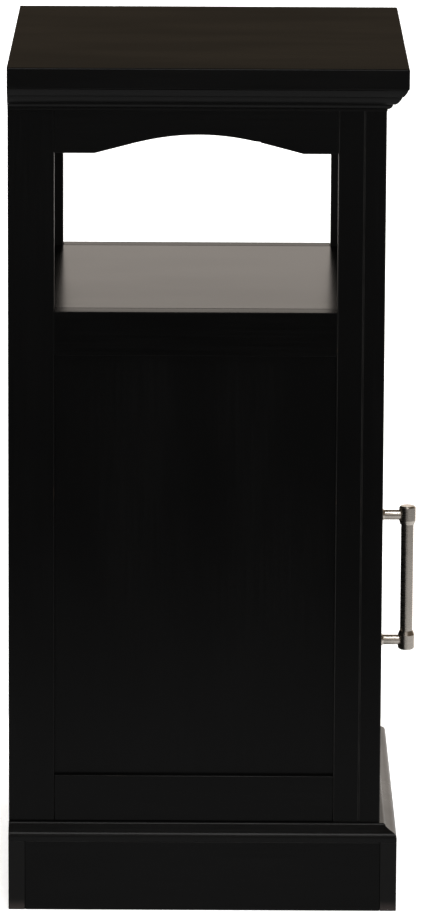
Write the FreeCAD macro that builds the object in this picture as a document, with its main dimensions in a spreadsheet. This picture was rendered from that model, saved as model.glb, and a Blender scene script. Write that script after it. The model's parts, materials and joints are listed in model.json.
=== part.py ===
import FreeCAD, Part
import os
import re
import Sketcher

# Storage side table: a panelled cabinet with an open arched bay above an inset door.
# X runs to the right seen from the front, the front faces -Y, Z is up and the floor is Z = 0.
# The origin is the middle of the floor area that the whole table covers, pull included.

SIZES = {
    # Whole table
    "table_height": 635,
    "body_width": 298,
    "body_depth": 277,
    # Top board
    "top_thickness": 15.7,
    "top_overhang": 16,
    "top_round": 1.4,
    # Cornice profile, from the top down
    "cornice_lip": 0.4,
    "upper_run": 3.3,
    "upper_drop": 5,
    "upper_radius": 24,
    "upper_step": 0.9,
    "upper_quirk": 0.3,
    "middle_run": 4.7,
    "middle_drop": 6,
    "middle_radius": 12,
    "middle_step": 2,
    "middle_quirk": 0.9,
    "lower_run": 3.4,
    "lower_drop": 3.2,
    "lower_radius": 4.6,
    "lower_step": 0.3,
    "lower_quirk": 1.7,
    "cornice_foot": 0.4,
    # Side frames and face frame
    "frame_thickness": 16,
    "back_stile_width": 34,
    "front_stile_width": 19,
    "face_stile_width": 34,
    "top_rail_height": 49.5,
    "middle_rail_height": 33,
    "bottom_rail_height": 35,
    "shelf_height": 452,
    # Arch under each top rail: two straight ramps, and a crown over a share of its span and of its rise
    "arch_flat": 27.5,
    "arch_rise": 14,
    "arch_shift": 2,
    "crown_span_share": 0.596,
    "crown_rise_share": 0.421,
    # Frame joints
    "groove_width": 6,
    "groove_depth": 8,
    "tenon_haunch": 6,
    "tenon_clearance": 0.1,
    "tenon_end_gap": 0.5,
    "panel_float": 1,
    # Boards inside
    "shelf_thickness": 15,
    "back_thickness": 5,
    "back_rabbet": 8,
    "back_rail_height": 34,
    "cleat_width": 12,
    "cleat_height": 14,
    "cleat_end_gap": 0.5,
    # Adjustable shelf and its pins
    "inner_shelf_thickness": 12,
    "inner_shelf_height": 236,
    "inner_shelf_gap": 1,
    "inner_shelf_setback": 3,
    "pin_diameter": 5,
    "pin_reach": 8,
    "pin_seat": 8,
    "pin_hole_depth": 9,
    "pin_pitch": 32,
    "pin_front_inset": 6.5,
    "pin_back_inset": 15,
    "pin_clearance": 0.05,
    # Base board and plinth
    "plinth_height": 53,
    "plinth_thickness": 12.5,
    "base_thickness": 12.5,
    "base_overhang": 12.5,
    "base_lip": 2.8,
    "nosing_radius": 5,
    "nosing_height": 3.7,
    "swell_radius": 14,
    "swell_inset": 5.2,
    "swell_height": 8.5,
    "rim_inset": 8.2,
    "rim_round": 1.8,
    "block_width": 20,
    "block_height": 48,
    # Door
    "door_gap": 2,
    "door_stile_width": 40,
    "door_rail_height": 40,
    # Butt hinges
    "hinge_length": 40,
    "hinge_inset": 40,
    "leaf_width": 13,
    "leaf_gap": 0.2,
    "barrel_diameter": 5.2,
    "barrel_clearance": 0.3,
    "knuckle_gap": 0.2,
    "hinge_pin_diameter": 2.4,
    "hinge_pin_clearance": 0.05,
    "hinge_pin_head_diameter": 4.6,
    "hinge_pin_head": 1.2,
    "hinge_screw_spread": 24,
    "hinge_screw_inset": 7,
    "hinge_screw_length": 14,
    # Magnetic catch
    "catch_rise": 80,
    "catch_length": 40,
    "catch_depth": 12,
    "catch_lap": 14,
    "catch_hold": 16,
    "catch_recess": 1.5,
    "strike_thickness": 1.2,
    "strike_width": 15,
    "strike_inset": 1,
    "strike_length": 32,
    "catch_screw_spread": 24,
    "catch_screw_length": 20,
    "strike_screw_spread": 18,
    "strike_screw_length": 10,
    # Bar pull
    "pull_drop": 2,
    "pull_spacing": 96,
    "pull_standoff": 20,
    "bar_diameter": 9.6,
    "ferrule_diameter": 12.6,
    "ferrule_length": 14,
    "ferrule_chamfer": 1.2,
    "ferrule_taper": 3,
    "ferrule_clearance": 0.05,
    "bar_end_inset": 0.6,
    "post_diameter": 7.6,
    "post_foot_diameter": 11.2,
    "post_foot_rim": 0.8,
    "post_foot_height": 3,
    "post_end_gap": 0.1,
    "post_bore_depth": 12,
    "pull_screw_diameter": 4,
    "pull_screw_grip": 10,
    "pull_screw_head_diameter": 8,
    "pull_screw_head": 2.4,
    # Wood screws, and the small screws of the hardware and the back
    "wood_screw_head": 7.6,
    "wood_screw_sink": 2,
    "wood_screw_shank": 3.6,
    "small_screw_head": 5,
    "small_screw_sink": 0.9,
    "small_screw_shank": 2.6,
    "screw_clearance": 0.05,
    "cleat_screw_rise": 24,
    "cleat_screw_reach": 22,
    "cleat_screw_inset": 60,
    "cleat_screw_offset": 24,
    "base_screw_length": 34,
    "base_screw_inset": 50,
    "back_screw_length": 18,
    "back_screw_inset": 40,
}

# Planes that many pieces share, as expressions of the sizes
BACK = "((body_depth + pull_standoff + ferrule_diameter / 2) / 2)"
FRONT = f"({BACK} - body_depth)"
SIDE = "(body_width / 2)"
INSIDE = f"({SIDE} - frame_thickness)"
FRAME_BACK = f"({FRONT} + frame_thickness)"
PANEL_FRONT = f"({BACK} - back_thickness)"
BASE_TOP = "(plinth_height + base_thickness)"
TOP_UNDER = "(table_height - top_thickness)"
RAIL_FLAT = f"({TOP_UNDER} - top_rail_height)"
SHELF_UNDER = "(shelf_height - shelf_thickness)"
MIDDLE_LOW = "(shelf_height - middle_rail_height)"
WINDOW_FRONT = f"({FRAME_BACK} + front_stile_width)"
WINDOW_BACK = f"({BACK} - back_stile_width)"
OPENING = f"({SIDE} - face_stile_width)"
DOOR_EDGE = f"({OPENING} - door_gap)"
DOOR_LOW = f"({BASE_TOP} + door_gap)"
DOOR_HIGH = f"({MIDDLE_LOW} - door_gap)"
DOOR_MIDDLE = f"(({DOOR_LOW} + {DOOR_HIGH}) / 2)"

doc = FreeCAD.newDocument("SideTable")
sheet = doc.addObject("Spreadsheet::Sheet", "Sizes")
for row, (alias, number) in enumerate(SIZES.items(), start=1):
    sheet.set(f"A{row}", alias)
    sheet.set(f"B{row}", str(number))
    sheet.setAlias(f"B{row}", alias)
doc.recompute()

nodes = {}


def sized(text):
    """Expression with each size's name pointed at its cell in the sheet."""
    return re.sub(r"[a-z_]+", lambda word: f"Sizes.{word[0]}" if word[0] in SIZES else word[0], text)


def value(text):
    """Number that an expression gives for the sizes as they stand."""
    return float(sheet.evalExpression(sized(text)))


def bind(item, name, text):
    item.setExpression(name, sized(text))


def place(item, x, y, z):
    """Puts an object's own origin at a point given as three expressions."""
    for axis, text in zip("xyz", (x, y, z)):
        bind(item, f"Placement.Base.{axis}", text)
    return item


def block(name, x, y, z):
    """Box between a low and a high expression on each axis."""
    box = doc.addObject("Part::Box", name)
    for side, (low, high) in zip(("Length", "Width", "Height"), (x, y, z)):
        bind(box, side, f"({high}) - ({low})")
    return place(box, x[0], y[0], z[0])


def rod(name, diameter, length, start, along=(0, 0, 1)):
    """Cylinder from a start point along a unit direction."""
    cylinder = doc.addObject("Part::Cylinder", name)
    bind(cylinder, "Radius", f"({diameter}) / 2")
    bind(cylinder, "Height", length)
    turn = FreeCAD.Rotation(FreeCAD.Vector(0, 0, 1), FreeCAD.Vector(*along))
    cylinder.Placement = FreeCAD.Placement(FreeCAD.Vector(), turn)
    return place(cylinder, *start)


def group(name, items):
    """Separate solids kept together."""
    compound = doc.addObject("Part::Compound", name)
    compound.Links = items
    return compound


def cut(name, base, tools):
    result = doc.addObject("Part::Cut", name)
    result.Base = base
    result.Tool = tools[0] if len(tools) == 1 else group(f"{name}_tools", tools)
    result.Refine = True
    return result


def fuse(name, pieces):
    result = doc.addObject("Part::MultiFuse", name)
    result.Shapes = pieces
    result.Refine = True
    return result


def common(name, pieces):
    result = doc.addObject("Part::MultiCommon", name)
    result.Shapes = pieces
    result.Refine = True
    return result


def node(label, item):
    """Makes an object one of the table's named pieces."""
    item.Label = label
    nodes[label] = item
    return item


def mirrored(label, source):
    """Right-hand twin of a left-hand piece."""
    twin = doc.addObject("Part::Mirroring", label)
    twin.Source = source
    twin.Normal = FreeCAD.Vector(1, 0, 0)
    return node(label, twin)


def arc_between(first, last, radius, hollow):
    """Arc that turns left from first to last, or right if it is hollow, and whether it runs forwards."""
    start, end = (last, first) if hollow else (first, last)
    chord = end - start
    middle = (start + end) / 2
    leftward = FreeCAD.Vector(-chord.y, chord.x, 0).normalize()
    rise = max(radius ** 2 - (chord.Length / 2) ** 2, 0) ** 0.5
    centre = middle + leftward * rise
    circle = Part.Circle(centre, FreeCAD.Vector(0, 0, 1), radius)
    return Part.ArcOfCircle(circle, circle.parameter(start), circle.parameter(end)), not hollow


def outline(body, role, corners, arcs):
    """Closed sketch on one of a body's own planes.

    Corners run anticlockwise, as pairs of expressions. Arcs maps the number of an edge to its
    radius and to True where it is hollow.
    """
    sketch = body.newObject("Sketcher::SketchObject", f"{body.Name}_outline")
    plane = next(feature for feature in body.Origin.OriginFeatures if feature.Role == role)
    sketch.AttachmentSupport = [(plane, "")]
    sketch.MapMode = "FlatFace"
    spots = [FreeCAD.Vector(value(across), value(up), 0) for across, up in corners]
    ends = []
    for edge, first in enumerate(spots):
        last = spots[(edge + 1) % len(spots)]
        if edge in arcs:
            radius, hollow = arcs[edge]
            curve, forwards = arc_between(first, last, value(radius), hollow)
        else:
            curve, forwards = Part.LineSegment(first, last), True
        sketch.addGeometry(curve, False)
        ends.append((1, 2) if forwards else (2, 1))
    for edge in range(len(spots)):
        following = (edge + 1) % len(spots)
        joint = Sketcher.Constraint("Coincident", edge, ends[edge][1], following, ends[following][0])
        sketch.addConstraint(joint)
    for edge, corner in enumerate(corners):
        for kind, axis, text in zip(("DistanceX", "DistanceY"), (-2, -1), corner):
            if text == "0":
                sketch.addConstraint(Sketcher.Constraint("PointOnObject", edge, ends[edge][0], axis))
            else:
                rule = Sketcher.Constraint(kind, -1, 1, edge, ends[edge][0], value(text))
                bind(sketch, f"Constraints[{sketch.addConstraint(rule)}]", text)
    for edge, (radius, _) in arcs.items():
        rule = Sketcher.Constraint("Radius", edge, value(radius))
        bind(sketch, f"Constraints[{sketch.addConstraint(rule)}]", radius)
    return sketch


def padded(name, role, corners, length, arcs=None):
    """Body padded from an outline: along +Z from XY, along +Y from XZ, along +X from YZ."""
    body = doc.addObject("PartDesign::Body", name)
    pad = body.newObject("PartDesign::Pad", f"{name}_pad")
    pad.Profile = outline(body, role, corners, arcs or {})
    bind(pad, "Length", length)
    pad.Reversed = role == "XZ_Plane"
    return body


def turned(name, corners, arcs=None):
    """Body turned about its Z axis from an outline of radius and height."""
    body = doc.addObject("PartDesign::Body", name)
    turning = body.newObject("PartDesign::Revolution", f"{name}_turning")
    sketch = outline(body, "XZ_Plane", corners, arcs or {})
    turning.Profile = sketch
    turning.ReferenceAxis = (sketch, ["V_Axis"])
    turning.Angle = 360
    return body


# Screws

def screw(name, family, head, drive, length, spare):
    """Countersunk screw, or with some spare on its radius the hole that takes it."""
    shank = rod(f"{name}_shank", f"{family}_screw_shank + 2 * ({spare})", length, head, drive)
    cone = doc.addObject("Part::Cone", f"{name}_cone")
    bind(cone, "Radius1", f"{family}_screw_head / 2 + {spare}")
    bind(cone, "Radius2", f"{family}_screw_shank / 2 + {spare}")
    bind(cone, "Height", f"{family}_screw_sink")
    cone.Placement = shank.Placement
    place(cone, *head)
    return fuse(name, [shank, cone])


def screws(label, family, places):
    """Node of like screws. Returns the holes for them; a place is a head point, a drive and a length."""
    made = [screw(f"{label}_{n}", family, *spot, "0") for n, spot in enumerate(places)]
    holes = [screw(f"{label}_hole_{n}", family, *spot, "screw_clearance") for n, spot in enumerate(places)]
    node(label, group(label, made))
    return group(f"{label}_holes", holes)


def both_sides(places):
    """Places on the left, with their twins on the right."""
    twins = [((f"-({x})", y, z), (-drive[0], *drive[1:]), length) for (x, y, z), drive, length in places]
    return places + twins


UP = (0, 0, 1)
LEFT = (-1, 0, 0)
RIGHT = (1, 0, 0)
FORWARD = (0, -1, 0)

CLEAT_FRONT = f"({FRAME_BACK} + cleat_end_gap)"
TOP_CLEAT_BACK = f"({PANEL_FRONT} - frame_thickness - cleat_end_gap)"
SHELF_CLEAT_BACK = f"({PANEL_FRONT} - cleat_end_gap)"
CLEAT_MIDDLE = f"-({INSIDE} - cleat_width / 2)"


def cleat_screw_places():
    """Two screws up through each cleat and two sideways into the rail beside it."""
    places = []
    for top, back in ((TOP_UNDER, TOP_CLEAT_BACK), (SHELF_UNDER, SHELF_CLEAT_BACK)):
        low = f"{top} - cleat_height"
        inner = f"-({INSIDE} - cleat_width)"
        for y, aside in ((f"{CLEAT_FRONT} + cleat_screw_inset", "-"), (f"{back} - cleat_screw_inset", "+")):
            sideways = f"{y} {aside} cleat_screw_offset"
            places.append(((CLEAT_MIDDLE, y, low), UP, "cleat_screw_rise"))
            places.append(((inner, sideways, f"{top} - cleat_height / 2"), LEFT, "cleat_screw_reach"))
    return both_sides(places)


def base_screw_places():
    """Screws up through the base board into the bottom rails."""
    x = f"-({SIDE} - frame_thickness / 2)"
    ends = (f"{WINDOW_FRONT} + base_screw_inset", f"{WINDOW_BACK} - base_screw_inset")
    return both_sides([((x, y, "plinth_height"), UP, "base_screw_length") for y in ends])


def back_screw_places():
    """Screws through the back panel into the rabbets of the back stiles."""
    x = f"-({INSIDE} + back_rabbet / 2)"
    heights = (f"{BASE_TOP} + back_screw_inset", SHELF_UNDER, f"{TOP_UNDER} - back_screw_inset")
    return both_sides([((x, BACK, z), FORWARD, "back_screw_length") for z in heights])


cleat_holes = screws("cleat_screws", "wood", cleat_screw_places())
base_holes = screws("base_screws", "wood", base_screw_places())
back_holes = screws("back_screws", "small", back_screw_places())


# Top board and cornice

def top_board():
    """Board with eased edges, flush at the back."""
    width = "body_width + 2 * top_overhang"
    depth = "body_depth + top_overhang"
    corners = [("0", "0"), (width, "0"), (width, depth), ("0", depth)]
    body = padded("top_board_body", "XY_Plane", corners, "top_thickness")
    doc.recompute()
    pad = body.Tip
    middle = value(depth) / 2
    eased = [
        f"Edge{number}" for number, edge in enumerate(pad.Shape.Edges, start=1)
        if min(corner.Y for corner in edge.Vertexes) < middle
    ]
    rounding = body.newObject("PartDesign::Fillet", "top_board_rounding")
    rounding.Base = (pad, eased)
    bind(rounding, "Radius", "top_round")
    place(body, f"-({SIDE} + top_overhang)", f"{FRONT} - top_overhang", TOP_UNDER)
    node("top_board", cut("top_board", body, [cleat_holes]))


# Rounded members of the cornice from the top down; each ends in a step inwards and a short upright quirk
CORNICE_MEMBERS = ("upper", "middle", "lower")
CORNICE_RUNS = " + ".join(f"{member}_run + {member}_step" for member in CORNICE_MEMBERS)
CORNICE_DROPS = " + ".join(f"{member}_drop + {member}_quirk" for member in CORNICE_MEMBERS)
CORNICE_REACH = f"({CORNICE_RUNS} + cornice_foot)"
CORNICE_HEIGHT = f"(cornice_lip + {CORNICE_DROPS})"
CORNICE_LOW = f"({TOP_UNDER} - {CORNICE_HEIGHT})"


def cornice_length(name, role, length):
    """Straight run of the moulding, its outer lip at zero and its back at the full reach."""
    corners = [(CORNICE_REACH, "0"), (CORNICE_REACH, CORNICE_HEIGHT), ("0", CORNICE_HEIGHT)]
    arcs = {}
    inwards = "0"
    upwards = f"{CORNICE_HEIGHT} - cornice_lip"
    for member in CORNICE_MEMBERS:
        arcs[len(corners)] = (f"{member}_radius", False)
        corners.append((inwards, upwards))
        run_end = f"{member}_run" if inwards == "0" else f"{inwards} + {member}_run"
        inwards = f"{run_end} + {member}_step"
        upwards = f"{upwards} - {member}_drop"
        corners += [(run_end, upwards), (inwards, upwards)]
        upwards = f"{upwards} - {member}_quirk"
    corners.append((inwards, "0"))
    return padded(name, role, corners, length, arcs)


def cornice():
    """Moulding mitred at the two front corners: a front length and one length on each side."""
    outer_width = f"body_width + 2 * {CORNICE_REACH}"
    outer_depth = f"body_depth + {CORNICE_REACH}"
    corner = (f"-({SIDE} + {CORNICE_REACH})", f"{FRONT} - {CORNICE_REACH}", CORNICE_LOW)

    run = cornice_length("cornice_front_run", "YZ_Plane", outer_width)
    plan = [("0", "0"), (outer_width, "0"), (f"body_width + {CORNICE_REACH}", CORNICE_REACH),
            (CORNICE_REACH, CORNICE_REACH)]
    mitre = padded("cornice_front_mitre", "XY_Plane", plan, CORNICE_HEIGHT)
    node("cornice_front", common("cornice_front", [place(run, *corner), place(mitre, *corner)]))

    run = cornice_length("cornice_left_run", "XZ_Plane", outer_depth)
    plan = [("0", "0"), (CORNICE_REACH, CORNICE_REACH), (CORNICE_REACH, outer_depth), ("0", outer_depth)]
    mitre = padded("cornice_left_mitre", "XY_Plane", plan, CORNICE_HEIGHT)
    left = node("cornice_left", common("cornice_left", [place(run, *corner), place(mitre, *corner)]))
    mirrored("cornice_right", left)


# Frame joinery: "y" frames stand along the sides, "x" frames along the front

def slab(name, run, along, through, z):
    """Box in a frame: its length along the run, its thickness through the frame."""
    return block(name, along, through, z) if run == "x" else block(name, through, along, z)


def thickness(face):
    return (face, f"{face} + frame_thickness")


def middle_slot(face, spare="0"):
    """Middle of a frame's thickness: the groove, or with some spare the tongue that slides into it."""
    middle = f"{face} + frame_thickness / 2"
    half = f"(groove_width / 2 - {spare})"
    return (f"{middle} - {half}", f"{middle} + {half}")


def tenoned(name, run, board, along, face, tenon_z):
    """Board with a stub tenon on each end, its shoulders at the two ends of the run."""
    tongue = middle_slot(face, "tenon_clearance")
    reach = "(groove_depth - tenon_end_gap)"
    low, high = along
    return fuse(name, [
        board,
        slab(f"{name}_low_tenon", run, (f"{low} - {reach}", low), tongue, tenon_z),
        slab(f"{name}_high_tenon", run, (high, f"{high} + {reach}"), tongue, tenon_z),
    ])


def rail(name, run, along, face, z, tenon_z, groove_z=None):
    """Straight rail with tenons and, beside a panel, a groove along one edge."""
    board = slab(f"{name}_board", run, along, thickness(face), z)
    whole = tenoned(f"{name}_tenoned", run, board, along, face, tenon_z)
    if groove_z is None:
        return whole
    return cut(f"{name}_grooved", whole, [slab(f"{name}_groove", run, along, middle_slot(face), groove_z)])


def stile(name, run, along, face, z, mortises, low_edge):
    """Upright with mortises or grooves in its low or high edge."""
    board = slab(f"{name}_board", run, along, thickness(face), z)
    low, high = along
    depth = (low, f"{low} + groove_depth") if low_edge else (f"{high} - groove_depth", high)
    tools = [
        slab(f"{name}_mortise_{n}", run, depth, middle_slot(face), span) for n, span in enumerate(mortises)
    ]
    return cut(f"{name}_mortised", board, tools)


def flat_panel(name, run, along, face, z):
    """Panel that floats in the grooves round it and stands in the lower one."""
    slide = "(groove_depth - panel_float)"
    return slab(
        name, run, (f"{along[0]} - {slide}", f"{along[1]} + {slide}"),
        middle_slot(face, "tenon_clearance"), (f"{z[0]} - groove_depth", f"{z[1]} + {slide}"),
    )


def arched_rail(name, run, along, face, shift):
    """Top rail whose lower edge rises in an arch, with a flat at each end."""
    low, high = along
    length = f"({high} - {low})"
    half = f"({length} / 2 - arch_flat)"
    crown_half = f"({half} * crown_span_share)"
    crown_rise = "(arch_rise * crown_rise_share)"
    crown_radius = f"(({crown_half} * {crown_half} + {crown_rise} * {crown_rise}) / (2 * {crown_rise}))"
    ramp_top = f"(arch_rise - {crown_rise})"
    middle = f"({length} / 2 - {shift})"
    corners = [
        ("0", "0"),
        (f"{middle} - {half}", "0"),
        (f"{middle} - {crown_half}", ramp_top),
        (f"{middle} + {crown_half}", ramp_top),
        (f"{middle} + {half}", "0"),
        (length, "0"),
        (length, "top_rail_height"),
        ("0", "top_rail_height"),
    ]
    role = "XZ_Plane" if run == "x" else "YZ_Plane"
    body = padded(f"{name}_body", role, corners, "frame_thickness", {2: (crown_radius, True)})
    start = (low, face) if run == "x" else (face, low)
    place(body, *start, RAIL_FLAT)
    return tenoned(f"{name}_tenoned", run, body, along, face, ARCH_TENON)


LOWER_GROOVE = (BASE_TOP, "shelf_height - tenon_haunch")
ARCH_MORTISE = (f"{RAIL_FLAT} + tenon_haunch", f"{TOP_UNDER} - tenon_haunch")
ARCH_TENON = (f"{ARCH_MORTISE[0]} + tenon_clearance", f"{ARCH_MORTISE[1]} - tenon_clearance")
MIDDLE_TENON_HIGH = "shelf_height - tenon_haunch - tenon_clearance"
UPRIGHT = (BASE_TOP, TOP_UNDER)


def shelf_pin_places():
    """Front and back rows of pin holes in a side, by depth."""
    return (f"{FRAME_BACK} + pin_front_inset", f"{BACK} - pin_back_inset")


PIN_HEIGHT = "(inner_shelf_height - pin_diameter / 2)"
PIN_HOLES_EACH_WAY = 1


def pin_holes(name, y):
    """Row of blind holes up the inside of a stile, the middle one in use."""
    diameter = "pin_diameter + 2 * pin_clearance"
    holes = []
    for step in range(-PIN_HOLES_EACH_WAY, PIN_HOLES_EACH_WAY + 1):
        mouth = (f"-{INSIDE}", y, f"{PIN_HEIGHT} + ({step}) * pin_pitch")
        holes.append(rod(f"{name}_{len(holes)}", diameter, "pin_hole_depth", mouth, LEFT))
    return holes


def side_frames():
    """Left side frame with an arched window over a flat panel, and its twin on the right."""
    face = f"-{SIDE}"
    front_y, back_y = shelf_pin_places()
    window = (WINDOW_FRONT, WINDOW_BACK)
    mortises = (LOWER_GROOVE, ARCH_MORTISE)

    upright = stile("left_back_stile", "y", (WINDOW_BACK, BACK), face, UPRIGHT, mortises, True)
    rabbet_width = (f"-({INSIDE} + back_rabbet)", f"-{INSIDE}")
    rabbet = block("left_back_rabbet", rabbet_width, (PANEL_FRONT, BACK), UPRIGHT)
    back_pins = pin_holes("left_back_pin_hole", back_y)
    back_stile = cut("left_back_stile", upright, [rabbet, back_holes, *back_pins])

    upright = stile("left_front_stile", "y", (FRAME_BACK, WINDOW_FRONT), face, UPRIGHT, mortises, False)
    front_stile = cut("left_front_stile", upright, pin_holes("left_front_pin_hole", front_y))

    arch = arched_rail("left_arched_rail", "y", window, face, "arch_shift")
    middle = rail(
        "left_middle_rail", "y", window, face, (MIDDLE_LOW, "shelf_height"),
        (f"{MIDDLE_LOW} + groove_depth", MIDDLE_TENON_HIGH), (MIDDLE_LOW, f"{MIDDLE_LOW} + groove_depth"),
    )
    rail_top = f"{BASE_TOP} + bottom_rail_height"
    bottom = rail(
        "left_bottom_rail", "y", window, face, (BASE_TOP, rail_top),
        (BASE_TOP, f"{rail_top} - groove_depth"), (f"{rail_top} - groove_depth", rail_top),
    )
    pieces = {
        "back_stile": back_stile,
        "front_stile": front_stile,
        "arched_rail": cut("left_arched_rail", arch, [cleat_holes]),
        "middle_rail": cut("left_middle_rail", middle, [cleat_holes]),
        "bottom_rail": cut("left_bottom_rail", bottom, [base_holes]),
        "side_panel": flat_panel("left_side_panel", "y", window, face, (rail_top, MIDDLE_LOW)),
    }
    for name, piece in pieces.items():
        mirrored(f"right_{name}", node(f"left_{name}", piece))


# Butt hinges on the right of the door

HINGE_X = f"({OPENING} - door_gap / 2)"
HINGE_Y = f"({FRONT} - barrel_diameter / 2 - barrel_clearance)"
HINGES = {
    "lower": f"({DOOR_LOW} + hinge_inset)",
    "upper": f"({DOOR_HIGH} - hinge_inset - hinge_length)",
}
LEAF_THICKNESS = "((door_gap - leaf_gap) / 2)"
KNUCKLES = 5


def hinge_screw_places(x, drive):
    """Two screws through each leaf."""
    y = f"{FRONT} + hinge_screw_inset"
    places = []
    for low in HINGES.values():
        for sign in "-+":
            z = f"{low} + hinge_length / 2 {sign} hinge_screw_spread / 2"
            places.append(((x, y, z), drive, "hinge_screw_length"))
    return places


frame_screw_places = hinge_screw_places(f"{HINGE_X} + leaf_gap / 2", RIGHT)
door_screw_places = hinge_screw_places(f"{HINGE_X} - leaf_gap / 2", LEFT)
frame_leaf_holes = screws("hinge_frame_screws", "small", frame_screw_places)
door_leaf_holes = screws("hinge_door_screws", "small", door_screw_places)


def hinge_leaf(name, low, x, first_knuckle, holes):
    """Plate in the gap beside the door, with every other knuckle of the barrel."""
    height = (low, f"{low} + hinge_length")
    pieces = [block(f"{name}_plate", x, (FRONT, f"{FRONT} + leaf_width"), height)]
    step = f"(hinge_length / {KNUCKLES})"
    for n in range(first_knuckle, KNUCKLES, 2):
        span = (f"{low} + {n} * {step} + knuckle_gap / 2", f"{low} + {n + 1} * {step} - knuckle_gap / 2")
        pieces.append(block(f"{name}_web_{n}", x, (HINGE_Y, FRONT), span))
        pieces.append(rod(f"{name}_knuckle_{n}", "barrel_diameter", f"{step} - knuckle_gap",
                          (HINGE_X, HINGE_Y, span[0])))
    bore = rod(f"{name}_bore", "hinge_pin_diameter + 2 * hinge_pin_clearance", "hinge_length",
               (HINGE_X, HINGE_Y, low))
    node(name, cut(name, fuse(f"{name}_blank", pieces), [bore, holes]))


def hinges():
    """Frame leaf, door leaf and pin of each hinge; the pin's heads hold it in the frame's knuckles."""
    inner = "leaf_gap / 2"
    outer = f"(leaf_gap / 2 + {LEAF_THICKNESS})"
    for name, low in HINGES.items():
        hinge_leaf(f"{name}_hinge_frame_leaf", low, (f"{HINGE_X} + {inner}", f"{HINGE_X} + {outer}"), 0,
                   frame_leaf_holes)
        hinge_leaf(f"{name}_hinge_door_leaf", low, (f"{HINGE_X} - {outer}", f"{HINGE_X} - {inner}"), 1,
                   door_leaf_holes)
        label = f"{name}_hinge_pin"
        foot = f"{low} + knuckle_gap / 2"
        ends = {"foot": f"{foot} - hinge_pin_head", "head": f"{low} + hinge_length - knuckle_gap / 2"}
        length = "hinge_length - knuckle_gap"
        pieces = [rod(f"{label}_shaft", "hinge_pin_diameter", length, (HINGE_X, HINGE_Y, foot))]
        for end, z in ends.items():
            start = (HINGE_X, HINGE_Y, z)
            pieces.append(rod(f"{label}_{end}", "hinge_pin_head_diameter", "hinge_pin_head", start))
        node(label, fuse(label, pieces))


# Magnetic catch behind the left stile, and the strike plate on the door

CATCH_Z = f"({DOOR_MIDDLE} + catch_rise)"
CATCH_BACK = f"({FRAME_BACK} + catch_depth)"
STRIKE_LEFT = f"(-{DOOR_EDGE} + strike_inset)"
STRIKE_BACK = f"({FRAME_BACK} + strike_thickness)"


def catch_screw_places(name, x, head_y):
    """Two screws, one over the other, driven forwards."""
    heights = [f"{CATCH_Z} {sign} {name}_screw_spread / 2" for sign in "-+"]
    return [((x, head_y, z), FORWARD, f"{name}_screw_length") for z in heights]


catch_places = catch_screw_places("catch", f"-({OPENING} + catch_hold / 2)", CATCH_BACK)
strike_places = catch_screw_places("strike", f"{STRIKE_LEFT} + strike_width / 2", STRIKE_BACK)
catch_holes = screws("catch_screws", "small", catch_places)
strike_holes = screws("strike_screws", "small", strike_places)


def catch():
    """Stepped catch body on the stile, its nose behind the door, and the plate that it pulls on."""
    height = (f"{CATCH_Z} - catch_length / 2", f"{CATCH_Z} + catch_length / 2")
    nose = f"-({OPENING} - door_gap - catch_lap)"
    whole = block("catch_blank", (f"-({OPENING} + catch_hold)", nose), (FRAME_BACK, CATCH_BACK), height)
    recess = block("catch_step", (f"-{OPENING}", nose), (FRAME_BACK, f"{FRAME_BACK} + catch_recess"), height)
    node("catch_body", cut("catch_body", whole, [recess, catch_holes]))
    plate = block(
        "strike_blank", (STRIKE_LEFT, f"{STRIKE_LEFT} + strike_width"), (FRAME_BACK, STRIKE_BACK),
        (f"{CATCH_Z} - strike_length / 2", f"{CATCH_Z} + strike_length / 2"),
    )
    node("strike_plate", cut("strike_plate", plate, [strike_holes]))


# Face frame

def face_frame():
    """Two full-height stiles, an arched rail and a middle rail at the front of the carcass."""
    opening = (f"-{OPENING}", OPENING)
    middle_span = (f"{MIDDLE_LOW} + tenon_haunch", "shelf_height - tenon_haunch")
    mortises = (middle_span, ARCH_MORTISE)
    tenon = (f"{middle_span[0]} + tenon_clearance", f"{middle_span[1]} - tenon_clearance")
    left = stile("face_left_stile", "x", (f"-{SIDE}", f"-{OPENING}"), FRONT, UPRIGHT, mortises, False)
    right = stile("face_right_stile", "x", (OPENING, SIDE), FRONT, UPRIGHT, mortises, True)
    node("face_left_stile", cut("face_left_stile", left, [catch_holes]))
    node("face_right_stile", cut("face_right_stile", right, [frame_leaf_holes]))
    node("face_arched_rail", arched_rail("face_arched_rail", "x", opening, FRONT, "0"))
    middle = rail("face_middle_rail", "x", opening, FRONT, (MIDDLE_LOW, "shelf_height"), tenon)
    node("face_middle_rail", middle)


# Boards inside the carcass

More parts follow.
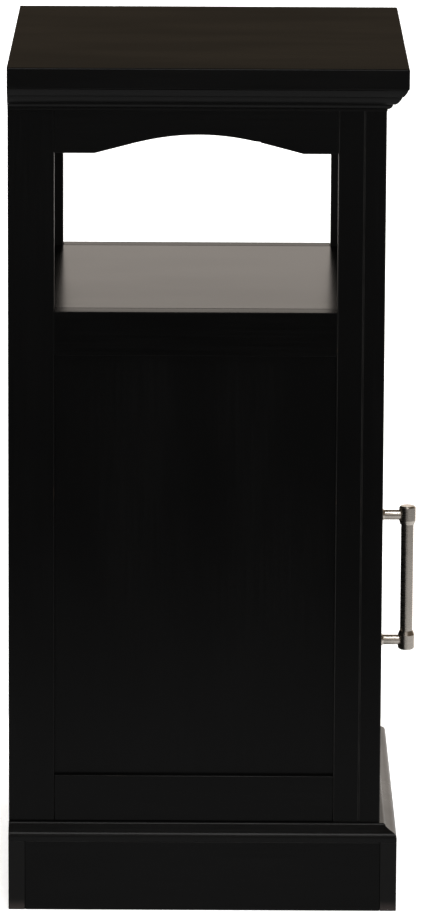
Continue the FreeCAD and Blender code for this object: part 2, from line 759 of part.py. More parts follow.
def carcass_boards():
    """Back panel, shelves, pins and the cleats and rail that the top and the open shelf are screwed to."""
    inside = (f"-{INSIDE}", INSIDE)
    panel_edge = f"({INSIDE} + back_rabbet)"
    panel = block("back_panel_board", (f"-{panel_edge}", panel_edge), (PANEL_FRONT, BACK), UPRIGHT)
    node("back_panel", cut("back_panel", panel, [back_holes]))
    node("back_top_rail", block("back_top_rail", inside, (f"{PANEL_FRONT} - frame_thickness", PANEL_FRONT),
                                (f"{TOP_UNDER} - back_rail_height", TOP_UNDER)))
    shelf = block("open_shelf_board", inside, (FRAME_BACK, PANEL_FRONT), (SHELF_UNDER, "shelf_height"))
    node("open_shelf", cut("open_shelf", shelf, [cleat_holes]))
    cleat_span = (f"-{INSIDE}", f"-({INSIDE} - cleat_width)")
    for name, top, back in (("top", TOP_UNDER, TOP_CLEAT_BACK), ("shelf", SHELF_UNDER, SHELF_CLEAT_BACK)):
        height = (f"{top} - cleat_height", top)
        strip = block(f"{name}_cleat_strip", cleat_span, (CLEAT_FRONT, back), height)
        label = f"left_{name}_cleat"
        mirrored(f"right_{name}_cleat", node(label, cut(label, strip, [cleat_holes])))
    edge = f"({INSIDE} - inner_shelf_gap)"
    depth = (f"{FRAME_BACK} + inner_shelf_setback", f"{PANEL_FRONT} - inner_shelf_gap")
    height = ("inner_shelf_height", "inner_shelf_height + inner_shelf_thickness")
    node("inner_shelf", block("inner_shelf", (f"-{edge}", edge), depth, height))
    pins = []
    for side, drive in (("-", RIGHT), ("", LEFT)):
        for y in shelf_pin_places():
            start = (f"{side}({INSIDE} + pin_seat)", y, PIN_HEIGHT)
            pins.append(rod(f"shelf_pin_{len(pins)}", "pin_diameter", "pin_seat + pin_reach", start, drive))
    node("shelf_pins", group("shelf_pins", pins))


# Base board and plinth

def base_board():
    """Board moulded on its front and sides: a profile across it met by one from front to back.

    From the floor up, the profile is a lip, a nosing, a flatter swell, a bevel and a rounded rim.
    """
    width = "(body_width + 2 * base_overhang)"
    depth = "(body_depth + base_overhang)"
    nosing_in = "(nosing_radius - sqrt(nosing_radius ^ 2 - nosing_height ^ 2))"
    edge = [
        ("(rim_inset + rim_round)", "base_thickness"),
        ("rim_inset", "base_thickness - rim_round"),
        ("swell_inset", "swell_height"),
        (nosing_in, "base_lip + nosing_height"),
        ("0", "base_lip"),
    ]
    far_edge = [(width if inset == "0" else f"{width} - {inset}", up) for inset, up in reversed(edge)]
    across = [("0", "0"), (width, "0"), *far_edge, *edge]
    along = [("0", "0"), (depth, "0"), (depth, "base_thickness"), *edge]
    rim = ("rim_round", False)
    swell = ("swell_radius", False)
    nosing = ("nosing_radius", False)
    across_arcs = {2: nosing, 3: swell, 5: rim, 7: rim, 9: swell, 10: nosing}
    along_arcs = {3: rim, 5: swell, 6: nosing}
    corner = (f"-({SIDE} + base_overhang)", f"{FRONT} - base_overhang", "plinth_height")
    by_width = place(padded("base_across", "XZ_Plane", across, depth, across_arcs), *corner)
    by_depth = place(padded("base_along", "YZ_Plane", along, width, along_arcs), *corner)
    board = common("base_board_moulded", [by_width, by_depth])
    node("base_board", cut("base_board", board, [base_holes]))


def plinth():
    """Four boards on edge, the sides between the front and the back, with corner glue blocks."""
    outer = f"({SIDE} + base_overhang)"
    inner = f"({outer} - plinth_thickness)"
    front = f"({FRONT} - base_overhang)"
    front_in = f"({front} + plinth_thickness)"
    back_in = f"({BACK} - plinth_thickness)"
    height = ("0", "plinth_height")
    node("plinth_front", block("plinth_front", (f"-{outer}", outer), (front, front_in), height))
    node("plinth_back", block("plinth_back", (f"-{outer}", outer), (back_in, BACK), height))
    left = node("plinth_left", block("plinth_left", (f"-{outer}", f"-{inner}"), (front_in, back_in), height))
    mirrored("plinth_right", left)
    blocks = []
    for x in ((f"-{inner}", f"-{inner} + block_width"), (f"{inner} - block_width", inner)):
        for y in ((front_in, f"{front_in} + block_width"), (f"{back_in} - block_width", back_in)):
            span = ("plinth_height - block_height", "plinth_height")
            blocks.append(block(f"plinth_block_{len(blocks)}", x, y, span))
    node("plinth_blocks", group("plinth_blocks", blocks))


# Bar pull on the left stile of the door

PULL_X = f"(-{DOOR_EDGE} + door_stile_width / 2)"
PULL_Y = f"({FRONT} - pull_standoff)"
PULL_Z = f"({DOOR_MIDDLE} - pull_drop)"
PULL_ENDS = {"lower": f"({PULL_Z} - pull_spacing / 2)", "upper": f"({PULL_Z} + pull_spacing / 2)"}
POST_LENGTH = "(pull_standoff - bar_diameter / 2 - post_end_gap)"
BACKWARD = (0, 1, 0)


def pull_screw_holes():
    return [
        rod(f"pull_{end}_screw_hole", "pull_screw_diameter + 2 * screw_clearance", "frame_thickness",
            (PULL_X, FRAME_BACK, z), FORWARD)
        for end, z in PULL_ENDS.items()
    ]


def ferrule(end, z, flip):
    """Turned collar, chamfered at its outer end and tapered down to the bar at its inner one."""
    bore = "bar_diameter / 2 + ferrule_clearance"
    outer = "ferrule_diameter / 2"
    taper_end = "bar_diameter / 2 + ferrule_chamfer / 2"
    corners = [
        (bore, "0"),
        (taper_end, "0"),
        (outer, "ferrule_taper"),
        (outer, "ferrule_length - ferrule_chamfer"),
        (f"{outer} - ferrule_chamfer", "ferrule_length"),
        ("0", "ferrule_length"),
        ("0", "ferrule_length - bar_end_inset"),
        (bore, "ferrule_length - bar_end_inset"),
    ]
    body = turned(f"{end}_ferrule_body", corners)
    if flip:
        upside_down = FreeCAD.Rotation(FreeCAD.Vector(1, 0, 0), 180)
        body.Placement = FreeCAD.Placement(FreeCAD.Vector(), upside_down)
    place(body, PULL_X, PULL_Y, f"{z} {'+' if flip else '-'} ferrule_length / 2")
    socket = rod(f"{end}_post_socket", "post_diameter + 2 * ferrule_clearance", "ferrule_diameter",
                 (PULL_X, PULL_Y, z), BACKWARD)
    return cut(f"{end}_ferrule", body, [socket])


def post(end, z):
    """Turned post with a flared foot on the door and a bore for its screw."""
    bore = "(pull_screw_diameter / 2 + screw_clearance)"
    waist = "post_diameter / 2"
    foot = "post_foot_diameter / 2"
    corners = [
        (bore, "0"), (foot, "0"), (foot, "post_foot_rim"), (waist, "post_foot_height"),
        (waist, POST_LENGTH), ("0", POST_LENGTH), ("0", "post_bore_depth"), (bore, "post_bore_depth"),
    ]
    body = turned(f"{end}_post", corners, {2: ("post_foot_height", True)})
    turn = FreeCAD.Rotation(FreeCAD.Vector(0, 0, 1), FreeCAD.Vector(*FORWARD))
    body.Placement = FreeCAD.Placement(FreeCAD.Vector(), turn)
    return place(body, PULL_X, FRONT, z)


def pull_screw(end, z):
    """Pan-head screw from inside the door into a post."""
    name = f"{end}_pull_screw"
    seat = (PULL_X, FRAME_BACK, z)
    head = rod(f"{name}_head", "pull_screw_head_diameter", "pull_screw_head", seat, BACKWARD)
    shank = rod(f"{name}_shank", "pull_screw_diameter", "frame_thickness + pull_screw_grip", seat, FORWARD)
    return fuse(name, [head, shank])


def pull():
    """Bar between two ferrules, carried on two posts."""
    overhang = "(ferrule_length / 2 - bar_end_inset)"
    node("pull_bar", rod("pull_bar", "bar_diameter", f"pull_spacing + 2 * {overhang}",
                         (PULL_X, PULL_Y, f"{PULL_ENDS['lower']} - {overhang}")))
    ferrules = [ferrule(end, z, end == "lower") for end, z in PULL_ENDS.items()]
    node("pull_ferrules", group("pull_ferrules", ferrules))
    node("pull_posts", group("pull_posts", [post(end, z) for end, z in PULL_ENDS.items()]))
    node("pull_screws", group("pull_screws", [pull_screw(end, z) for end, z in PULL_ENDS.items()]))


# Door

def door():
    """Inset frame and panel door, flush with the face frame."""
    low_in = f"(-{DOOR_EDGE} + door_stile_width)"
    high_in = f"({DOOR_EDGE} - door_stile_width)"
    inside = (low_in, high_in)
    height = (DOOR_LOW, DOOR_HIGH)
    bottom_top = f"({DOOR_LOW} + door_rail_height)"
    top_low = f"({DOOR_HIGH} - door_rail_height)"
    left = stile("door_left_stile", "x", (f"-{DOOR_EDGE}", low_in), FRONT, height, [height], False)
    right = stile("door_right_stile", "x", (high_in, DOOR_EDGE), FRONT, height, [height], True)
    node("door_left_stile", cut("door_left_stile", left, [strike_holes, *pull_screw_holes()]))
    node("door_right_stile", cut("door_right_stile", right, [door_leaf_holes]))
    node("door_bottom_rail", rail(
        "door_bottom_rail", "x", inside, FRONT, (DOOR_LOW, bottom_top),
        (DOOR_LOW, f"{bottom_top} - groove_depth"), (f"{bottom_top} - groove_depth", bottom_top),
    ))
    node("door_top_rail", rail(
        "door_top_rail", "x", inside, FRONT, (top_low, DOOR_HIGH),
        (f"{top_low} + groove_depth", DOOR_HIGH), (top_low, f"{top_low} + groove_depth"),
    ))
    node("door_panel", flat_panel("door_panel", "x", inside, FRONT, (bottom_top, top_low)))


top_board()
cornice()
side_frames()
hinges()
catch()
face_frame()
carcass_boards()
base_board()
plinth()
pull()
door()
doc.recompute()

for item in doc.Objects:
    if "Invalid" in item.State or "Error" in item.State:
        raise RuntimeError(f"{item.Label} did not build: {item.State}")
for label, item in nodes.items():
    if item.Shape.isNull() or not item.Shape.isValid() or not item.Shape.Solids:
        raise RuntimeError(f"{label} has no valid solid")

os.makedirs("parts", exist_ok=True)
for label, item in nodes.items():
    item.Shape.exportStep(f"parts/{label}.step")
print(f"{len(nodes)} pieces written")
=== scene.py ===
import json
import math

import bmesh
import bpy
from mathutils import Matrix, Vector

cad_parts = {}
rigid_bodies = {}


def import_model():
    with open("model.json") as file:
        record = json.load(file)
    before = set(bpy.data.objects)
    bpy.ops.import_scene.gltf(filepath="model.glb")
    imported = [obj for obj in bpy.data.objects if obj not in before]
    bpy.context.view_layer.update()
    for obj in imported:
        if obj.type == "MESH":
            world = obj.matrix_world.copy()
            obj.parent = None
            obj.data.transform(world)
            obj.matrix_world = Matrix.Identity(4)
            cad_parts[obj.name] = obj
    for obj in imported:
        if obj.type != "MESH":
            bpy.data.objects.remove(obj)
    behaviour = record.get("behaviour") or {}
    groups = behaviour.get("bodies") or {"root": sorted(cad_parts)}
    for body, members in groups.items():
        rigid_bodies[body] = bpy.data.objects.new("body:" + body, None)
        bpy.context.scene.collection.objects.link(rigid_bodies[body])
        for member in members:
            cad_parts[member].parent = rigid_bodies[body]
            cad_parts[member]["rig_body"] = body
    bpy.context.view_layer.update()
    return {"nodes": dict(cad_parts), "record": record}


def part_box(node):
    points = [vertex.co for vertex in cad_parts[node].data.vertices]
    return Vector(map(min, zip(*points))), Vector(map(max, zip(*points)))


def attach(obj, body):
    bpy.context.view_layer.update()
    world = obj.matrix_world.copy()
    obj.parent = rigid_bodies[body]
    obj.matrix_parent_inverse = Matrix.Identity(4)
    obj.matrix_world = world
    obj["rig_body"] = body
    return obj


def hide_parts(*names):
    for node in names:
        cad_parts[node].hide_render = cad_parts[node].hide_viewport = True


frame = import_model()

# Pieces with a finish of their own; all others take the finish that their slot names
MOULDINGS = ("cornice_front", "cornice_left", "cornice_right", "base_board")
SIDE_STILES = ("left_back_stile", "left_front_stile", "right_back_stile", "right_front_stile")
FINISHES = {
    "top_board": "top",
    "open_shelf": "shelf",
    "left_middle_rail": "rail",
    "right_middle_rail": "rail",
    **dict.fromkeys(MOULDINGS, "moulding"),
    **dict.fromkeys(SIDE_STILES, "side_stile"),
}

# Boards whose grain runs from front to back; on all others it follows the longest side
GRAIN_FRONT_TO_BACK = ("top_board", "open_shelf", "inner_shelf", "base_board")

# Wear of the finish on eased edges, kept as a share on the faces of the mesh; its burnished grey is partly a
# painted sheen, full on the front stiles as a painted highlight along the front corner joints
WEAR_AND_SHEEN = "edge_wear_and_sheen"
FULL_WEAR = 1.0
LIGHT_WEAR = 0.12
PIECES_WITH_PAINTED_SHEEN = ("face_left_stile", "face_right_stile", "left_front_stile", "right_front_stile")


# Shader helpers

def new_material(name):
    """Material with its node tree and its main shader."""
    material = bpy.data.materials.new(name)
    material.use_nodes = True
    tree = material.node_tree
    return material, tree, tree.nodes["Principled BSDF"]


def add(tree, kind, inputs=None, **settings):
    """Node whose inputs are set to plain values or linked to other nodes' sockets."""
    node = tree.nodes.new(f"ShaderNode{kind}")
    for name, setting in settings.items():
        setattr(node, name, setting)
    for name, given in (inputs or {}).items():
        connect(tree, given, node.inputs[name])
    return node


def connect(tree, given, socket):
    """Links a socket to another node's socket, or sets it to a plain value."""
    if isinstance(given, bpy.types.NodeSocket):
        tree.links.new(given, socket)
    else:
        socket.default_value = given


def places(tree):
    """Places on the piece, in metres."""
    return add(tree, "TexCoord").outputs["Object"]


def facings(tree):
    """Directions that the piece's faces look in."""
    return add(tree, "TexCoord").outputs["Normal"]


def component(tree, vector, axis):
    return add(tree, "SeparateXYZ", {"Vector": vector}).outputs[axis.upper()]


def stretched(tree, scale):
    """Places on the piece, times a scale for each axis."""
    return add(tree, "Mapping", {"Vector": places(tree), "Scale": scale}).outputs["Vector"]


def noise(tree, scale, detail=3.0, roughness=0.55):
    """Noise with a count of cycles per metre on each axis."""
    inputs = {"Vector": stretched(tree, scale), "Scale": 1.0, "Detail": detail, "Roughness": roughness}
    return add(tree, "TexNoise", inputs).outputs["Fac"]


def ramp(tree, fac, low, high, start=0.0, end=1.0):
    """Value that goes from start to end as fac goes from low to high."""
    inputs = {"Value": fac, "From Min": low, "From Max": high, "To Min": start, "To Max": end}
    return add(tree, "MapRange", inputs, interpolation_type="SMOOTHSTEP").outputs["Result"]


def times(tree, first, second):
    return add(tree, "Math", {0: first, 1: second}, operation="MULTIPLY").outputs["Value"]


def plus(tree, first, second):
    return add(tree, "Math", {0: first, 1: second}, operation="ADD").outputs["Value"]


def blend(tree, fac, first, second):
    """Colour between two colours."""
    node = add(tree, "Mix", data_type="RGBA")
    fac_in, first_in, second_in = node.inputs[0], node.inputs[6], node.inputs[7]
    for given, socket in ((fac, fac_in), (first, first_in), (second, second_in)):
        connect(tree, given, socket)
    return node.outputs[2]


def bump(tree, height, strength, depth):
    inputs = {"Height": height, "Strength": strength, "Distance": depth}
    return add(tree, "Bump", inputs).outputs["Normal"]


def along_axis(axis, along, across):
    """Scale with one value along the grain and another across it."""
    return [along if letter == axis else across for letter in "xyz"]


# Painted wood

BLACK = (0.0018, 0.0018, 0.0018, 1)
BLACK_THIN = (0.0026, 0.0026, 0.0026, 1)
INNER_BLACK = (0.0042, 0.0041, 0.004, 1)
INNER_BLACK_THIN = (0.0066, 0.0063, 0.006, 1)
BOARD_BLACK = (0.0052, 0.005, 0.0048, 1)
BOARD_BLACK_THIN = (0.0082, 0.0077, 0.0072, 1)
# Painted fill light: lighter colour on the side stiles' inward faces, standing in for light inside the open
# bay
INSIDE_PAINTED_LIGHT = (0.0088, 0.0085, 0.0082, 1)
END_GRAIN = (0.0048, 0.0048, 0.0047, 1)
SCUFFED_END = (0.031, 0.0255, 0.0242, 1)
# Burnished grey of worn edges: partly wear, partly a painted sheen that makes a painted highlight on the
# front stiles
BURNISHED_SHEEN = (0.012, 0.0118, 0.0114, 1)
RUBBED = (0.05, 0.03, 0.017, 1)

# Cycles per metre of the noise in the finish, along and across the grain
FIBRES = (14, 620)
CLOUDS = (5, 16)
PATCHES = (38, 38)

# Noise levels between which the coat thins, the polish changes, and edges take their burnished wear and
# painted sheen or are rubbed through
THIN_COAT = (0.15, 0.45)
POLISH = (0.3, 0.7)
BURNISH = (0.2, 0.6)
LEAST_BURNISH = 0.5
RUB = (0.66, 0.75)

# How far along the grain a face has to look to be a sawn end, and how high ends are scuffed, in metres
SAWN_END = (0.9, 0.99)
SCUFF_HEIGHT = 0.009

# Metres from the table's middle to a face's plane, below zero where the face looks back at the middle
LOOKS_OUT = -0.02
LOOKS_IN = -0.06

# What the inside adds to the roughness, and how strongly the fibres stand out
INSIDE_ROUGHER = 0.19
FIBRE_RELIEF = 0.25

LACQUER = {
    "dark": BLACK, "thin": BLACK_THIN, "gloss": 0.1, "roughness": (0.19, 0.25),
    "fibre_depth": 0.00004,
}
PAINTED_FINISHES = {
    "black_lacquer": LACQUER,
    # Side stiles: their inward faces carry a painted fill light
    "side_stile": {**LACQUER, "inside_painted_light": INSIDE_PAINTED_LIGHT},
    "rail": {**LACQUER, "gloss": 0.03},
    "shelf": {**LACQUER, "roughness": (0.205, 0.225)},
    "top": {**LACQUER, "roughness": (0.27, 0.33)},
    "moulding": {**LACQUER, "gloss": 0.17, "roughness": (0.26, 0.32)},
    "inner_lacquer": {
        "dark": INNER_BLACK, "thin": INNER_BLACK_THIN, "gloss": 0.1, "roughness": (0.5, 0.65),
        "fibre_depth": 0.00006,
    },
    "back_board": {
        "dark": BOARD_BLACK, "thin": BOARD_BLACK_THIN, "gloss": 0.1, "roughness": (0.55, 0.7),
        "fibre_depth": 0.00003,
    },
}


def turned_inwards(tree):
    """Value that is 1 on faces that look towards the table's middle and 0 on those that look outwards."""
    inputs = {0: facings(tree), 1: stretched(tree, (1, 1, 0))}
    outwards = add(tree, "VectorMath", inputs, operation="DOT_PRODUCT").outputs["Value"]
    return ramp(tree, outwards, LOOKS_OUT, LOOKS_IN)


def painted_wood(name, axis, dark, thin, gloss, roughness, fibre_depth, inside_painted_light=None):
    """Black finish over close-grained wood, thinner in places along the grain and lighter on sawn ends.

    Sawn ends are scuffed near the floor. Eased edges are burnished, which is partly wear and partly a
    painted sheen, and rubbed through in spots.
    Faces that look towards the table's middle can be rougher and painted lighter, a painted fill light for
    the shade inside.
    """
    material, tree, shader = new_material(name)
    fibres = noise(tree, along_axis(axis, *FIBRES), detail=4.0)
    clouds = noise(tree, along_axis(axis, *CLOUDS), detail=2.0)
    patches = noise(tree, along_axis(axis, *PATCHES), detail=3.0)
    paint = blend(tree, ramp(tree, times(tree, fibres, clouds), *THIN_COAT), dark, thin)
    polish = ramp(tree, clouds, *POLISH, *roughness)
    # Painted fill light: inward faces of the side stiles are painted lighter where the inside lies in shade
    if inside_painted_light:
        inside = turned_inwards(tree)
        paint = blend(tree, inside, paint, inside_painted_light)
        polish = plus(tree, polish, times(tree, inside, INSIDE_ROUGHER))
    along_grain = component(tree, facings(tree), axis)
    end_on = add(tree, "Math", {0: along_grain}, operation="ABSOLUTE").outputs["Value"]
    height = component(tree, places(tree), "z")
    end_grain = blend(tree, ramp(tree, height, 0.0, SCUFF_HEIGHT), SCUFFED_END, END_GRAIN)
    coat = blend(tree, ramp(tree, end_on, *SAWN_END), paint, end_grain)
    edge = add(tree, "Attribute", attribute_name=WEAR_AND_SHEEN, attribute_type="GEOMETRY").outputs["Fac"]
    # Burnished edges: partly wear, partly a painted sheen that stands in for light caught on the edges
    wear_and_sheen = times(tree, edge, ramp(tree, patches, *BURNISH, LEAST_BURNISH, 1.0))
    rub = times(tree, edge, ramp(tree, patches, *RUB))
    coat_with_wear_and_painted_light = blend(tree, rub, blend(tree, wear_and_sheen, coat, BURNISHED_SHEEN), RUBBED)
    tree.links.new(coat_with_wear_and_painted_light, shader.inputs["Base Color"])
    tree.links.new(polish, shader.inputs["Roughness"])
    tree.links.new(bump(tree, fibres, FIBRE_RELIEF, fibre_depth), shader.inputs["Normal"])
    shader.inputs["Specular IOR Level"].default_value = gloss
    return material


# Bare wood, metal and plastic

PALE_WOOD = (0.46, 0.31, 0.18, 1)
BROWN_WOOD = (0.3, 0.18, 0.09, 1)
NICKEL = (0.72, 0.66, 0.59, 1)
NICKEL_SHADE = (0.64, 0.585, 0.52, 1)
ZINC = (0.42, 0.41, 0.38, 1)
ZINC_SHADE = (0.3, 0.29, 0.26, 1)
STEEL = (0.5, 0.5, 0.49, 1)
STEEL_SHADE = (0.4, 0.39, 0.38, 1)
HINGE_PAINT = (0.012, 0.0115, 0.011, 1)
SCRATCHED_STEEL = (0.22, 0.21, 0.2, 1)
PLASTIC = (0.026, 0.019, 0.014, 1)
PLASTIC_PALE = (0.036, 0.027, 0.02, 1)

# Cycles per metre of the noise: in wood along and across the grain, in the other materials on each axis
BARE_FIBRES = (20, 500)
GROWTH_LINES = (4, 110)
SMEARS = (90, 90, 60)
SCRATCHES = (420, 420, 420)
SPARK_TEXTURE = (1800, 1800, 1800)
PLASTIC_CLOUDS = (60, 60, 60)

# Noise levels between which metals are shaded, growth lines turn brown, and paint is scratched off
SMEARED = (0.35, 0.7)
BROWN_LINE = (0.35, 0.7)
SCRATCHED = (0.66, 0.74)

# Roughness where the noise is low and where it is high
BARE_WOOD_ROUGHNESS = (0.55, 0.8)
HINGE_ROUGHNESS = (0.3, 0.45)
PLASTIC_ROUGHNESS = (0.4, 0.55)


def softwood():
    """Bare pale wood with growth lines."""
    material, tree, shader = new_material("bare_softwood")
    fibres = noise(tree, along_axis("z", *BARE_FIBRES), detail=4.0)
    rings = noise(tree, along_axis("z", *GROWTH_LINES), detail=2.0)
    colour = blend(tree, ramp(tree, rings, *BROWN_LINE), PALE_WOOD, BROWN_WOOD)
    tree.links.new(colour, shader.inputs["Base Color"])
    tree.links.new(ramp(tree, fibres, *POLISH, *BARE_WOOD_ROUGHNESS), shader.inputs["Roughness"])
    tree.links.new(bump(tree, fibres, strength=0.4, depth=0.0001), shader.inputs["Normal"])
    return material


def metal(name, colour, shade, roughness, brush):
    """Metal with fine brush marks; brush is the count of marks per metre on each axis."""
    material, tree, shader = new_material(name)
    marks = noise(tree, brush, detail=3.0, roughness=0.6)
    smears = noise(tree, SMEARS, detail=2.0)
    tree.links.new(blend(tree, ramp(tree, smears, *SMEARED), colour, shade), shader.inputs["Base Color"])
    tree.links.new(ramp(tree, marks, *POLISH, *roughness), shader.inputs["Roughness"])
    tree.links.new(bump(tree, marks, strength=0.06, depth=0.00003), shader.inputs["Normal"])
    shader.inputs["Metallic"].default_value = 1.0
    return material


def painted_steel():
    """Black paint on the hinges, scratched to bare steel in small spots."""
    material, tree, shader = new_material("painted_steel")
    spots = noise(tree, SCRATCHES, detail=3.0)
    bare = ramp(tree, spots, *SCRATCHED)
    tree.links.new(blend(tree, bare, HINGE_PAINT, SCRATCHED_STEEL), shader.inputs["Base Color"])
    tree.links.new(bare, shader.inputs["Metallic"])
    tree.links.new(ramp(tree, spots, *POLISH, *HINGE_ROUGHNESS), shader.inputs["Roughness"])
    tree.links.new(bump(tree, spots, strength=0.15, depth=0.00005), shader.inputs["Normal"])
    return material


def moulded_plastic():
    """Dark brown plastic with a fine spark-eroded texture."""
    material, tree, shader = new_material("moulded_plastic")
    texture = noise(tree, SPARK_TEXTURE, detail=2.0)
    clouds = noise(tree, PLASTIC_CLOUDS)
    tree.links.new(blend(tree, clouds, PLASTIC, PLASTIC_PALE), shader.inputs["Base Color"])
    tree.links.new(ramp(tree, clouds, *POLISH, *PLASTIC_ROUGHNESS), shader.inputs["Roughness"])
    tree.links.new(bump(tree, texture, strength=0.3, depth=0.00006), shader.inputs["Normal"])
    return material


# All materials: painted wood by finish and grain, the others by slot

woods = {
    (finish, axis): painted_wood(f"{finish}_{axis}", axis, **look)
    for finish, look in PAINTED_FINISHES.items() for axis in "xyz"
}
others = {
    "raw_wood": softwood(),
    "nickel": metal("brushed_nickel", NICKEL, NICKEL_SHADE, roughness=(0.2, 0.34), brush=(120, 120, 2600)),
    "screw_steel": metal("zinc_plate", ZINC, ZINC_SHADE, roughness=(0.3, 0.45), brush=(500, 500, 500)),
    "strike_steel": metal("plain_steel", STEEL, STEEL_SHADE, roughness=(0.25, 0.4), brush=(2200, 2200, 60)),
    "hinge_metal": painted_steel(),
    "catch_plastic": moulded_plastic(),
}


# Pieces

# Easing of the wood's long edges, in metres; mouldings keep theirs finer
EASED_SLOTS = ("black_lacquer", "inner_lacquer", "back_board", "raw_wood")
EDGE_ROUND = 0.0007
MOULDING_ROUND = 0.00025
EDGE_STEPS = 3
ROUND_PROFILE = 0.5
SHORTEST_EDGE = 0.006
WELD_DISTANCE = 0.000002

# Angles between two faces: from the first on their edge is sharp, and up to the second they become one face
SHARP_ANGLE = math.radians(35)
FLAT_ANGLE = math.radians(0.5)

# Share of an edge's direction on both level axes above which it runs slantwise in plan
MITRE_SLANT = 0.3

# Pull of large faces on the shading of the eased edges around them
LARGE_FACE_WEIGHT = 100


def grain_axis(name):
    """Axis that a board's grain runs along."""
    if name in GRAIN_FRONT_TO_BACK:
        return "y"
    low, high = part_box(name)
    sides = list(high - low)
    return "xyz"[sides.index(max(sides))]


def long_edges(mesh):
    """Convex edges worth rounding over."""
    return [
        edge for edge in mesh.edges
        if edge.is_manifold and edge.is_convex and edge.calc_length() > SHORTEST_EDGE
        and edge.calc_face_angle() > SHARP_ANGLE
    ]


def mitred(edge):
    """Whether an edge runs slantwise in plan, as where two runs of a moulding meet."""
    start, end = (corner.co for corner in edge.verts)
    run = (end - start).normalized()
    return min(abs(run.x), abs(run.y)) > MITRE_SLANT


def eased(name, node, width, wear):
    """Copy of a wooden CAD piece with its long edges rounded over and their wear, with its painted sheen,
    marked on the new faces.
    """
    mesh = bmesh.new()
    mesh.from_mesh(node.data)
    bmesh.ops.remove_doubles(mesh, verts=mesh.verts, dist=WELD_DISTANCE)
    bmesh.ops.dissolve_limit(mesh, angle_limit=FLAT_ANGLE, verts=mesh.verts, edges=mesh.edges)
    worn = mesh.faces.layers.float.new(WEAR_AND_SHEEN)
    rounded = bmesh.ops.bevel(
        mesh, geom=long_edges(mesh), offset=width, offset_type="OFFSET", segments=EDGE_STEPS,
        profile=ROUND_PROFILE, affect="EDGES", clamp_overlap=False)
    for face in rounded["faces"]:
        face[worn] = wear
    for face in mesh.faces:
        face.smooth = True
    for edge in mesh.edges:
        edge.smooth = edge.calc_face_angle(0.0) < SHARP_ANGLE and not mitred(edge)
    data = bpy.data.meshes.new(f"eased_{name}")
    mesh.to_mesh(data)
    mesh.free()
    piece = bpy.data.objects.new(f"eased_{name}", data)
    bpy.context.scene.collection.objects.link(piece)
    normals = piece.modifiers.new("flat_faces", "WEIGHTED_NORMAL")
    normals.weight = LARGE_FACE_WEIGHT
    normals.keep_sharp = True
    return piece


for subpart in frame["record"]["subparts"]:
    name, slot = subpart["node"], subpart["material_slot"]
    node = frame["nodes"][name]
    if slot in EASED_SLOTS:
        width = MOULDING_ROUND if name in MOULDINGS else EDGE_ROUND
        # Full wear on the front stiles paints a highlight along the front corner joints
        wear = FULL_WEAR if name in PIECES_WITH_PAINTED_SHEEN else LIGHT_WEAR
        piece = eased(name, node, width, wear)
        finish = FINISHES.get(name, slot)
        piece.data.materials.append(woods.get((finish, grain_axis(name))) or others[slot])
        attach(piece, node["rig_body"])
        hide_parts(name)
    else:
        node.material_slots[0].material = others[slot]


# Floor and room

FLOOR_SIZE = 60.0
FLOOR_PALE = (0.8, 0.8, 0.8, 1)
WHITE = (1, 1, 1, 1)
ROOM = (0.1, 0.079, 0.056, 1)

# Distances from the table's middle, in metres, between which the floor's own glow grows so that shadows end
SHADOW_INNER = 0.3
SHADOW_OUTER = 0.9
GLOW_NEAR = 0.6

# The painted glow that glossy pieces mirror in place of the floor: distances in metres, then brightness
# near, further, far and in front
POOL_INNER = 0.5
POOL_OUTER = 1.5
FAR_OUTER = 4.5
FRONT_NEAR = -0.2
FRONT_FAR = -0.45
MIRRORED_NEAR = 0.6
MIRRORED_MIDDLE = 0.06
MIRRORED_FAR = 0.2
MIRRORED_FRONT = 0.19


def in_sight(tree):
    """Value that is 1 for what the camera sees, straight or through something clear."""
    ray = add(tree, "LightPath").outputs
    inputs = {0: ray["Is Camera Ray"], 1: ray["Is Transmission Ray"]}
    return add(tree, "Math", inputs, operation="MAXIMUM").outputs["Value"]


def floor_material():
    """Pale floor that takes shadows and is white to the camera; glossy pieces mirror a darker painted glow
    in its place.
    """
    material, tree, shader = new_material("pale_floor")
    tree.nodes.remove(shader)
    ground = places(tree)
    distance = add(tree, "VectorMath", {0: ground}, operation="LENGTH").outputs["Value"]
    white = times(tree, in_sight(tree), ramp(tree, distance, SHADOW_INNER, SHADOW_OUTER, GLOW_NEAR, 1.0))
    glow = add(tree, "Emission", {"Strength": white}).outputs["Emission"]
    paper = add(tree, "BsdfDiffuse", {"Color": FLOOR_PALE}).outputs["BSDF"]
    lit = add(tree, "AddShader", {0: paper, 1: glow}).outputs["Shader"]
    # Painted glow, seen only in reflections: bright near the table, dim further out, brighter far off and
    # towards the front
    near = ramp(tree, distance, POOL_INNER, POOL_OUTER, MIRRORED_NEAR, MIRRORED_MIDDLE)
    far = ramp(tree, distance, POOL_OUTER, FAR_OUTER, 0.0, MIRRORED_FAR)
    front = ramp(tree, component(tree, ground, "y"), FRONT_FAR, FRONT_NEAR, MIRRORED_FRONT, 0.0)
    strength = plus(tree, plus(tree, near, far), front)
    painted_glow_in_gloss = add(tree, "Emission", {"Strength": strength}).outputs["Emission"]
    in_gloss = add(tree, "LightPath").outputs["Is Glossy Ray"]
    surface = add(tree, "MixShader", {0: in_gloss, 1: lit, 2: painted_glow_in_gloss}).outputs["Shader"]
    tree.links.new(surface, tree.nodes["Material Output"].inputs["Surface"])
    return material


def floor():
    """Square floor under the table, no part of the object."""
    half = FLOOR_SIZE / 2
    corners = [(-half, -half, 0), (half, -half, 0), (half, half, 0), (-half, half, 0)]
    data = bpy.data.meshes.new("floor")
    data.from_pydata(corners, [], [(0, 1, 2, 3)])
    data.materials.append(floor_material())
    plane = bpy.data.objects.new("floor", data)
    bpy.context.scene.collection.objects.link(plane)


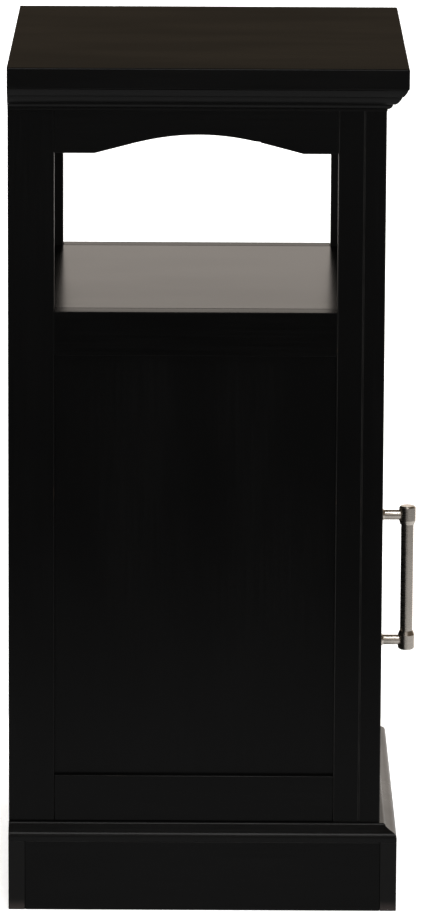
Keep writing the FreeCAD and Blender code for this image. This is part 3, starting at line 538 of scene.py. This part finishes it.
def room():
    """Dim warm room beyond the floor, white where the camera looks past it."""
    world = bpy.data.worlds.new("room")
    world.use_nodes = True
    tree = world.node_tree
    colour = blend(tree, in_sight(tree), ROOM, WHITE)
    tree.links.new(colour, tree.nodes["Background"].inputs["Color"])
    bpy.context.scene.world = world


# Lamps: places in metres, boxes by their radiance, far fills by the level of a face square to them

WARM_WHITE = (1.0, 0.92, 0.85)
NEUTRAL = (1.0, 1.0, 1.0)
FILL_ANGLE = math.radians(20)
STRIP_PLACE = (-1.62, 0.0, 2.4)
STRIP_TARGET = (-1.62, 0.0, 0.0)
WALL_PLACE = (-4.0, 0.0, 1.8)
WALL_TARGET = (0.0, 0.0, 0.4)
BOARD_PLACE = (0.42, -0.075, 0.315)
BOARD_TARGET = (0.0, -0.075, 0.315)


def soft_box(name, place, target, width, height, radiance, colour):
    """One-sided lamp of even brightness, out of the camera's sight."""
    data = bpy.data.lights.new(name, "AREA")
    data.shape = "RECTANGLE"
    data.size = width
    data.size_y = height
    data.energy = radiance * math.pi * width * height
    data.color = colour
    lamp = bpy.data.objects.new(name, data)
    lamp.location = place
    lamp.rotation_euler = (Vector(target) - Vector(place)).to_track_quat("-Z", "Y").to_euler()
    lamp.visible_camera = False
    bpy.context.scene.collection.objects.link(lamp)


def far_fill(name, towards, level):
    """Soft light from far off, without a mirror image, that lights a face square to it to a given level."""
    data = bpy.data.lights.new(name, "SUN")
    data.energy = level * math.pi
    data.angle = FILL_ANGLE
    lamp = bpy.data.objects.new(name, data)
    lamp.rotation_euler = Vector(towards).to_track_quat("-Z", "Y").to_euler()
    lamp.visible_glossy = False
    bpy.context.scene.collection.objects.link(lamp)


def lamps():
    """Strip overhead, dim wall on the camera's side, white board beyond the table, fill from four sides."""
    soft_box(
        "overhead_strip", STRIP_PLACE, STRIP_TARGET, width=1.76, height=0.6, radiance=6.4, colour=NEUTRAL)
    soft_box(
        "far_wall", WALL_PLACE, WALL_TARGET, width=2.4, height=2.2, radiance=0.4, colour=NEUTRAL)
    soft_box(
        "low_board", BOARD_PLACE, BOARD_TARGET, width=1.45, height=0.63, radiance=0.89, colour=WARM_WHITE)
    far_fill("side_fill", towards=(1, 0, -0.1), level=0.5)
    far_fill("front_fill", towards=(0, 1, -0.18), level=0.48)
    far_fill("back_fill", towards=(0, -1, -0.18), level=0.36)
    far_fill("top_fill", towards=(0.1, 0.1, -1), level=0.55)


# Camera that took the photograph: metres, degrees, and the lens for a 36 mm tall frame

CAMERA_PLACE = (-4.70056, 0.00351, 1.30717)
CAMERA_PITCH = 11.963
CAMERA_YAW = 0.02
CAMERA_ROLL = 0.274
CAMERA_LENS = 247.86
FRAME_HEIGHT = 36


def camera():
    """Camera on the table's left, that looks along the width."""
    data = bpy.data.cameras.new("camera")
    data.sensor_fit = "VERTICAL"
    data.sensor_height = FRAME_HEIGHT
    data.lens = CAMERA_LENS
    data.clip_end = 2 * FLOOR_SIZE
    eye = bpy.data.objects.new("camera", data)
    facing_right = Matrix.Rotation(math.radians(-90 - CAMERA_YAW), 4, "Z")
    tilted = Matrix.Rotation(math.radians(90 - CAMERA_PITCH), 4, "X")
    rolled = Matrix.Rotation(math.radians(CAMERA_ROLL), 4, "Z")
    eye.matrix_world = Matrix.Translation(CAMERA_PLACE) @ facing_right @ tilted @ rolled
    bpy.context.scene.collection.objects.link(eye)
    bpy.context.scene.camera = eye


floor()
room()
lamps()
camera()
bpy.context.scene.view_settings.view_transform = "Standard"
